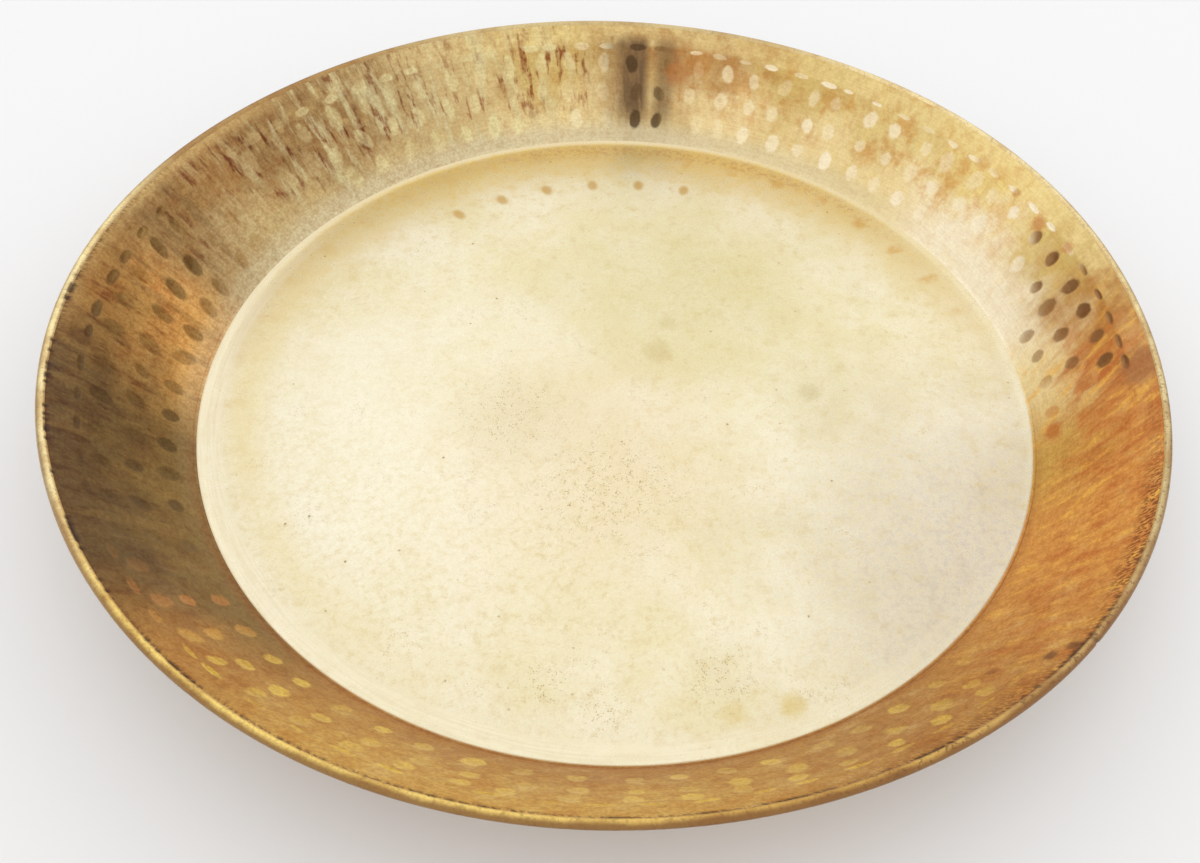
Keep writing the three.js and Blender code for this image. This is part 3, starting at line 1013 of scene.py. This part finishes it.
RIM_PITS = Line("#7e4618", CREASE_PATH - 2.5 * MM, 7 * MM, RIM_PITS_SHOW, 0.95)
# Dark strokes along the crease: partly tool marks, partly painted shade under the rolled rim
CREASE_MARKS_AND_SHADE = Line("#5a3018", CREASE_PATH, 2.4 * MM, CREASE_WEAR, 0.8)
DARK_POLISH = 0.75
DULL_ROUGHNESS = (0.4, 0.55)
POLISHED_ROUGHNESS = 0.22
WALL_METALLIC = (0.15, 1)
BLOT_RELIEF = 3
WALL_RELIEF = 0.03 * MM


class DishWall(Finish):
    """Tarnished brass, partly painted with reflection, with hammer marks, streaks down the back, a dark
    band of painted reflection, and grime and painted shade by the rim
    """

    def __init__(self):
        super().__init__("dish_wall_brass")
        self.shader.inputs["Specular IOR Level"].default_value = DULL_SPECULAR
        self.clouds = self.noise(WALL_CLOUDS)
        self.blots = self.noise(WALL_BLOTS)
        self.flecks = self.noise(WALL_FLECKS)
        self.grain = self.noise(WALL_GRAIN)
        self.lines = self.streaks(WALL_LINES)
        self.upper = self.span(self.up, *UPPER)
        ragged = self.total(self.named("mark"), self.sway(self.flecks, *MARK_RAGGED))
        self.inside_mark = self.span(ragged, *MARK_EDGE)

    def patina_and_reflection(self):
        # Patina and painted reflection, from the foot of the wall to its top
        height = self.total(self.up, self.sway(self.clouds, *PATINA_RAGGED))
        foot, top = self.around(FOOT_PATINA_AND_REFLECTION), self.around(TOP_PATINA_AND_REFLECTION)
        self.metal = self.mix(self.span(height, *PATINA_HEIGHT), foot, top)
        self.wear(BLOTCHES, self.blots, self.upper)
        self.wear(RUBBED, self.blots)

    def streaked(self):
        strokes = self.strokes(WALL_STROKES, STROKE_LEAN, STROKE_STRETCH)
        self.wear(DARK_STROKES, strokes, self.upper)
        self.wear(BRIGHT_STROKES, strokes)
        smears = self.streaks(WALL_SMEARS)
        for kind in (FADED, LEFT_RUBBED, LEFT_DULLED):
            self.wear(kind, smears)
        streaks = self.streaks(WALL_STREAKS)
        self.wear(STREAKED, streaks, self.upper, self.span(self.clouds, *STREAK_CLOUDS),
                  self.span(self.flecks, *STREAK_FLECKS))
        self.wear(PALE_LIP, self.up, self.span(self.blots, *LIP_BLOTS),
                  self.span(self.flecks, *LIP_FLECKS))
        self.line(LEFT_LIP)
        # Painted reflection: the dark band at the back
        self.wear(DARK_BAND_REFLECTION, self.up, self.span(streaks, *BAND_STREAKS),
                  self.span(self.up, *BAND_FOOT))
        # Painted reflection: pale band at the foot of the wall
        self.wear(PALE_FOOT_REFLECTION, self.up)

    def marks(self):
        """Tones of the hammer marks, partly patina and partly painted reflection; returns how far each
        place lies in one of the dark marks
        """
        below_lip = self.span(self.up, *BELOW_LIP)
        dark_zone = self.product(self.around(DARK_MARKS_END, DARK_END_LEAN),
                                 self.around(DARK_MARKS_START, DARK_START_LEAN),
                                 self.calc("MAXIMUM", below_lip, self.around(DARK_SLIVERS_END)))
        tone = self.named("tone")
        dark = self.product(self.inside_mark, dark_zone, self.span(self.up, *DARK_MARKS_RISE),
                            self.span(tone, *DARK_MARKS_SHARE))
        high_rows = self.product(self.span(self.up, *ABOVE_LOW_ROW), below_lip)
        show = self.mix(high_rows, self.around(LOW_MARKS_SHOW), self.around(HIGH_MARKS_SHOW))
        elsewhere = self.calc("SUBTRACT", 1.0, dark_zone)
        # Marks tinted by angle with patina and painted reflection
        self.coat(self.product(self.inside_mark, tone, show, elsewhere), self.around(MARK_PATINA_AND_REFLECTION))
        # Dark marks on the right: partly tarnish, partly painted reflection
        self.coat(dark, DARK_MARK_TONE)
        return dark

    def dirt(self):
        self.stains(WALL_STAINS)
        self.line(FOOT_SHADE)
        self.line(FOOT_LINE)
        self.wear(LINED, self.lines)
        self.wear(WALL_FLECKED, self.flecks)
        self.wear(WALL_GRAINY, self.grain)
        pits = self.span(self.strokes(PITS, PIT_LEAN, PIT_STRETCH), *PITTED)
        self.line(RIM_PITS, pits)
        # Dark strokes by the crease, partly tool marks and partly painted shade
        self.line(CREASE_MARKS_AND_SHADE, pits)
        self.grime()


def dish_wall_brass():
    wall = DishWall()
    wall.patina_and_reflection()
    wall.streaked()
    dark_marks = wall.marks()
    wall.dirt()
    polish = wall.calc("MAXIMUM", wall.product(wall.inside_mark, wall.around(POLISH_SHOW)),
                       wall.product(dark_marks, DARK_POLISH))
    dull = wall.sway(wall.blots, *DULL_ROUGHNESS)
    roughness = wall.span(polish, 0, 1, dull, POLISHED_ROUGHNESS, "LINEAR")
    wall.feed(wall.shader.inputs["Metallic"], wall.span(polish, 0, 1, *WALL_METALLIC))
    height = wall.total(wall.product(wall.blots, BLOT_RELIEF), wall.grain, wall.lines)
    return wall.finish(roughness, height, WALL_RELIEF)


# The rolled rim; heights go on from 1 at the crease over the roll
RIM_METALLIC = 0.4
RIM_GRAIN = Cloud(0.9 * MM, 4)
RIM_CLOUDS = Cloud(14 * MM, 5, 0.6)
RIM_SPECK_NOISE = Cloud(1.3 * MM)
RIM_CLOUDED = Wear("#caa058", (0.4, 0.65, 0, 0.4), way="MULTIPLY")
RIM_GRAINY = Wear("#b98f50", (0.45, 0.65, 0, 0.25), way="MULTIPLY")
RIM_SPECKS = Wear("#5a4022", (0.56, 0.64), RIM_SPECKS_SHOW, 0.6)
BESIDE_CREASE = Wear("#8a5a2c", (1.022, 1.0), CREASE_WEAR, 0.7)
CREASE_RAGGED = (-0.01, 0.01)
# Painted shade where the rim curls under
UNDER_RIM_SHADE = Wear("#74481c", (1.015, 1.05, 0, 0.85), UNDER_RIM_SHADE_SHOW)
UNDER_SHADE_RAGGED = (-0.008, 0.008)
RIM_ROUGHNESS = (0.26, 0.42)
RIM_RELIEF = 0.03 * MM


def rim_brass():
    """The rolled rim, rubbed bright and painted with a highlight on top, and with painted shade where it
    curls under
    """
    rim = Finish("rim_brass", RIM_METALLIC)
    grain = rim.noise(RIM_GRAIN)
    clouds = rim.noise(RIM_CLOUDS)
    # Patina with a painted highlight on top at the left and front
    rim.metal = rim.around(RIM_PATINA_AND_HIGHLIGHT)
    rim.wear(RIM_CLOUDED, clouds)
    rim.wear(RIM_GRAINY, grain)
    rim.wear(RIM_SPECKS, rim.noise(RIM_SPECK_NOISE))
    rim.wear(BESIDE_CREASE, rim.total(rim.up, rim.sway(grain, *CREASE_RAGGED)))
    # Painted shade on the underside of the roll
    rim.wear(UNDER_RIM_SHADE, rim.total(rim.up, rim.sway(clouds, *UNDER_SHADE_RAGGED)))
    rim.grime()
    return rim.finish(rim.sway(grain, *RIM_ROUGHNESS), grain, RIM_RELIEF)


# The outside of the wall and the underside
OUTSIDE_CLOUDS = Cloud(34 * MM, 5, 0.6)
OUTSIDE_BLOTS = Cloud(9 * MM, 5, 0.65)
OUTSIDE_GRAIN = Cloud(1.2 * MM)
OUTSIDE_TONES = ("#a9824a", "#c9a263")
OUTSIDE_CLOUDED = (0.35, 0.65)
BLOTTED = Wear("#8d6b3c", (0.5, 0.68, 0, 0.7))
BASE_WORN = Wear("#e0c384", (0.1, 0.02))
BASE_BLOTS = (0.62, 0.4, 0, 0.7)
OUTSIDE_LINED = Wear("#c9b08a", (0.35, 0.65, 0, 0.3), way="MULTIPLY")
OUTSIDE_GRAINY = Wear("#b08e5c", (*NOISE_RANGE, 0, 0.3), way="MULTIPLY")
OUTSIDE_ROUGHNESS = (0.36, 0.6)
OUTSIDE_RELIEF = 0.04 * MM


def outside_brass():
    """The outside and the underside, dull and browner, worn bright round the base"""
    outside = Finish("outside_brass")
    clouds = outside.noise(OUTSIDE_CLOUDS)
    blots = outside.noise(OUTSIDE_BLOTS)
    grain = outside.noise(OUTSIDE_GRAIN)
    lines = outside.streaks(TURNED_LINES)
    outside.metal = outside.mix(outside.span(clouds, *OUTSIDE_CLOUDED), *OUTSIDE_TONES)
    outside.wear(BLOTTED, blots)
    outside.wear(BASE_WORN, outside.calc("ABSOLUTE", outside.up), outside.span(blots, *BASE_BLOTS))
    outside.wear(OUTSIDE_LINED, lines)
    outside.wear(OUTSIDE_GRAINY, grain)
    height = outside.total(outside.product(blots, BLOT_RELIEF), grain, lines)
    return outside.finish(outside.sway(blots, *OUTSIDE_ROUGHNESS), height, OUTSIDE_RELIEF)


# The hoop inside the rim
WIRE_GRAIN = Cloud(1.5 * MM, 4)
WIRE_TONES = ("#5b5650", "#6b4a30")
WIRE_RUSTED = (0.45, 0.62)
WIRE_ROUGHNESS = (0.45, 0.75)
WIRE_RELIEF = 0.04 * MM


def wire_iron():
    """Dull iron, spotted with rust"""
    wire = Finish("wire_iron")
    grain = wire.noise(WIRE_GRAIN)
    wire.metal = wire.mix(wire.span(grain, *WIRE_RUSTED), *WIRE_TONES)
    return wire.finish(wire.sway(grain, *WIRE_ROUGHNESS), grain, WIRE_RELIEF)


def dress_wire():
    wire = frame["nodes"]["rim_wire"]
    wire.data.materials.clear()
    wire.data.materials.append(wire_iron())


# Studio; a screen is a curved card between two angles in degrees
Screen = namedtuple("Screen", "name first last height tone")
SCREENS = [
    Screen("left_screen", 112, 174, 0.38, "#86684a"),
    Screen("right_screen", 8, 68, 0.28, "#6a5238"),
]
SCREEN_RADIUS = 0.9
SCREEN_SIDES = 120
CARD_ROUGHNESS = 0.9
PAPER_TONE = (0.82, 0.82, 0.82, 1)
PAPER_SIZE = 8
PAPER_GAP = 0.1 * MM
LIGHT_TONE = (1, 1, 1, 1)
LIGHT_STRENGTH = 1.15


def card(name, tone):
    """A plain dull material"""
    material = bpy.data.materials.new(name)
    material.use_nodes = True
    shader = material.node_tree.nodes["Principled BSDF"]
    shader.inputs["Base Color"].default_value = tone
    shader.inputs["Roughness"].default_value = CARD_ROUGHNESS
    return material


def pale_floor():
    deselect_all()
    bpy.ops.mesh.primitive_plane_add(size=PAPER_SIZE, location=(0, 0, -PAPER_GAP))
    floor = bpy.context.active_object
    floor.name = "studio_floor"
    floor.data.materials.append(card("white_paper", PAPER_TONE))


def soft_light():
    world = bpy.data.worlds.new("light_tent")
    bpy.context.scene.world = world
    world.use_nodes = True
    background = world.node_tree.nodes["Background"]
    background.inputs["Color"].default_value = LIGHT_TONE
    background.inputs["Strength"].default_value = LIGHT_STRENGTH


def dark_screen(kind):
    """A curved card standing round part of the platter, seen only as a reflection in the brass"""
    deselect_all()
    bpy.ops.mesh.primitive_cylinder_add(vertices=SCREEN_SIDES, radius=SCREEN_RADIUS, depth=kind.height,
                                        end_fill_type="NOTHING", location=(0, 0, kind.height / 2))
    screen = bpy.context.active_object
    screen.name = kind.name
    bpy.ops.object.transform_apply(location=True, rotation=True, scale=True)
    bpy.ops.object.mode_set(mode="EDIT")
    bpy.ops.mesh.select_all(action="DESELECT")
    shell = bmesh.from_edit_mesh(screen.data)
    for face in shell.faces:
        middle = face.calc_center_median()
        degrees = math.degrees(math.atan2(middle.y, middle.x))
        face.select_set(not kind.first < degrees < kind.last)
    bmesh.update_edit_mesh(screen.data)
    bpy.ops.mesh.delete(type="FACE")
    bpy.ops.object.mode_set(mode="OBJECT")
    screen.data.materials.append(card(kind.name + "_card", colour(kind.tone)))
    screen.visible_camera = False
    screen.visible_diffuse = False
    screen.visible_shadow = False


# Camera, as worked out from the rim and floor ellipses of the photo; the shift is in its pixels
IMAGE_WIDTH = 1200
SHIFT_RIGHT = -107
SHIFT_UP = 9
CAMERA_DISTANCE = 0.413
CAMERA_ELEVATION = math.radians(46.4)
CAMERA_PAN = math.radians(-4.47)
CAMERA_TILT = math.radians(3.56)
CAMERA_ROLL = math.radians(2.36)
LENS_MM = 30
SENSOR_MM = 36
CLIP_START = 10 * MM


def photo_camera():
    data = bpy.data.cameras.new("photo_camera")
    data.sensor_width = SENSOR_MM
    data.lens = LENS_MM
    data.shift_x = SHIFT_RIGHT / IMAGE_WIDTH
    data.shift_y = SHIFT_UP / IMAGE_WIDTH
    data.clip_start = CLIP_START
    camera = bpy.data.objects.new("photo_camera", data)
    bpy.context.scene.collection.objects.link(camera)
    aim = Vector((0, 0, SHEET))
    away = Vector((0, -math.cos(CAMERA_ELEVATION), math.sin(CAMERA_ELEVATION)))
    looking = (-away).to_track_quat("-Z", "Y").to_matrix()
    turned_aside = Matrix.Rotation(CAMERA_PAN, 3, "Y") @ Matrix.Rotation(-CAMERA_TILT, 3, "X")
    rolled = Matrix.Rotation(CAMERA_ROLL, 3, "Z")
    place = Matrix.Translation(aim + CAMERA_DISTANCE * away)
    camera.matrix_world = place @ (looking @ turned_aside @ rolled).to_4x4()
    bpy.context.scene.camera = camera


photo_camera()
pale_floor()
soft_light()
for screen_kind in SCREENS:
    dark_screen(screen_kind)
hammered_pan()
dress_wire()

bpy.context.scene.view_settings.view_transform = "Standard"
